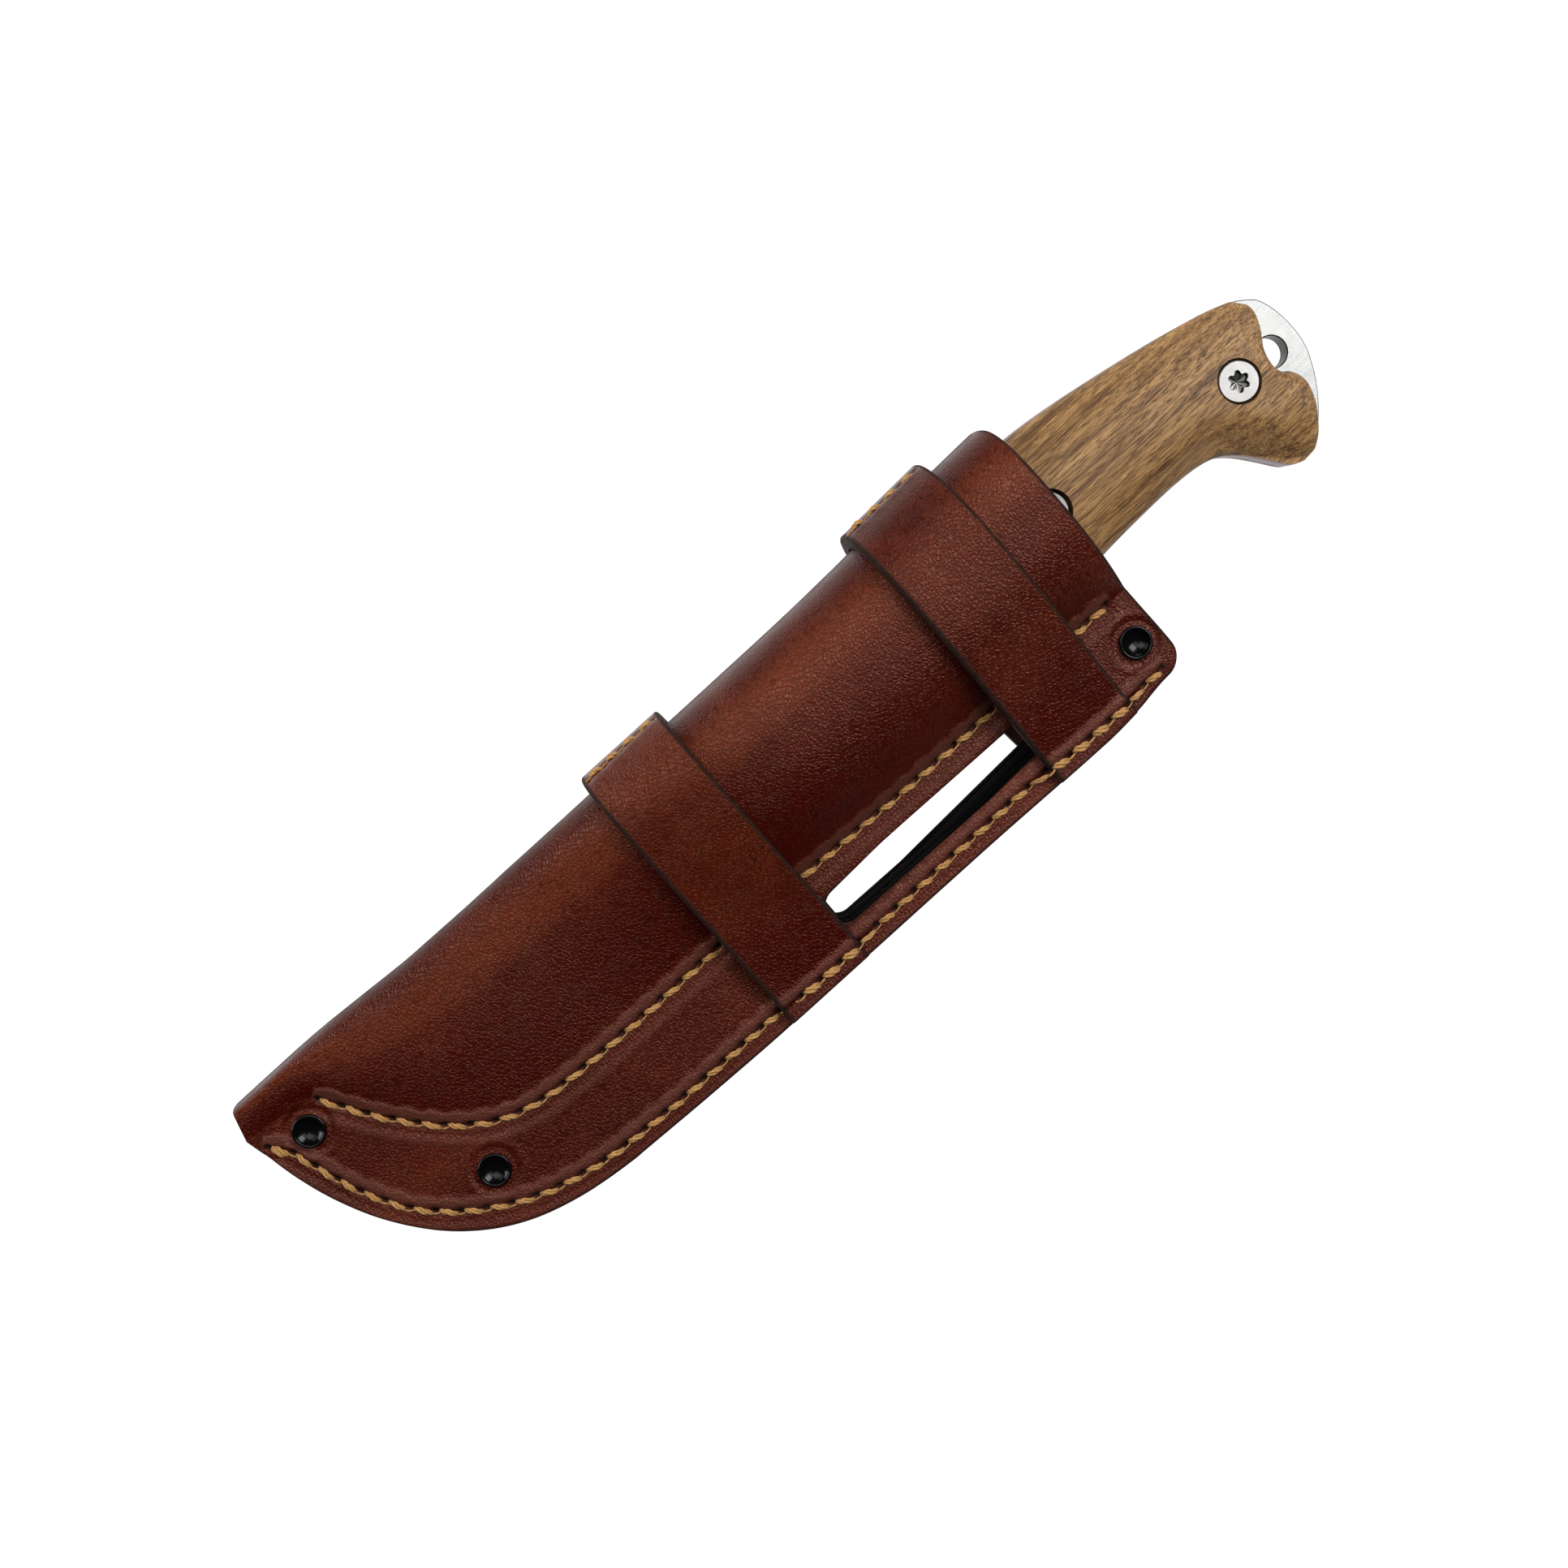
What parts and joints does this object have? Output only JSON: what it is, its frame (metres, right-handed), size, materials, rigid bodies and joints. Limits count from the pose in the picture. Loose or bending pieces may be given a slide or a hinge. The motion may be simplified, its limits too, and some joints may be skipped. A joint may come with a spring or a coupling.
{
  "type": "sheathed fixed-blade knife",
  "caption": "Full-tang fixed-blade knife with walnut handle scales that slides out of a stitched brown leather sheath with two belt straps.",
  "frame": {"origin": "middle of the bounding box's footprint, on the surface that the two strap backs lie on", "axes": "+X from the sheath's tip to the knife's butt, along which the knife is drawn; +Y from the cutting edge to the spine; +Z out of the sheath's front face"},
  "size_m": [0.252, 0.0648, 0.0388],
  "materials": {
    "sheath_leather": "glazed red-brown pull-up leather, fine pebble grain",
    "strap_leather": "glazed red-brown strap leather with creases",
    "welt_leather": "burnished black leather edge",
    "thread": "waxed twisted thread",
    "rivet": "gloss black",
    "steel": "satin ground steel",
    "bolt_steel": "satin turned steel",
    "liner": "dull red fibre",
    "walnut": "oiled open-grained walnut"
  },
  "bodies": {
    "sheath": {"sheath_panel": "sheath_leather", "edge_welt": "welt_leather", "strap_lower": "strap_leather", "strap_upper": "strap_leather", "thread_pocket_front": "thread", "thread_pocket_back": "thread", "thread_edge_front": "thread", "thread_edge_back": "thread", "thread_crest_lower": "thread", "thread_crest_upper": "thread", "rivet_tip_cap": "rivet", "rivet_tip_base": "rivet", "rivet_belly_cap": "rivet", "rivet_belly_base": "rivet", "rivet_mouth_cap": "rivet", "rivet_mouth_base": "rivet"},
    "knife": {"blade_tang": "steel", "liner_front": "liner", "liner_back": "liner", "scale_front": "walnut", "scale_back": "walnut", "bolt_front_screw": "bolt_steel", "bolt_front_nut": "bolt_steel", "bolt_middle_screw": "bolt_steel", "bolt_middle_nut": "bolt_steel", "bolt_rear_screw": "bolt_steel", "bolt_rear_nut": "bolt_steel"}
  },
  "joints": [
    {"name": "knife_draw", "type": "slide", "parent": "sheath", "child": "knife", "axis": [1, 0, 0], "range_m": [0, 0.18]}
  ]
}
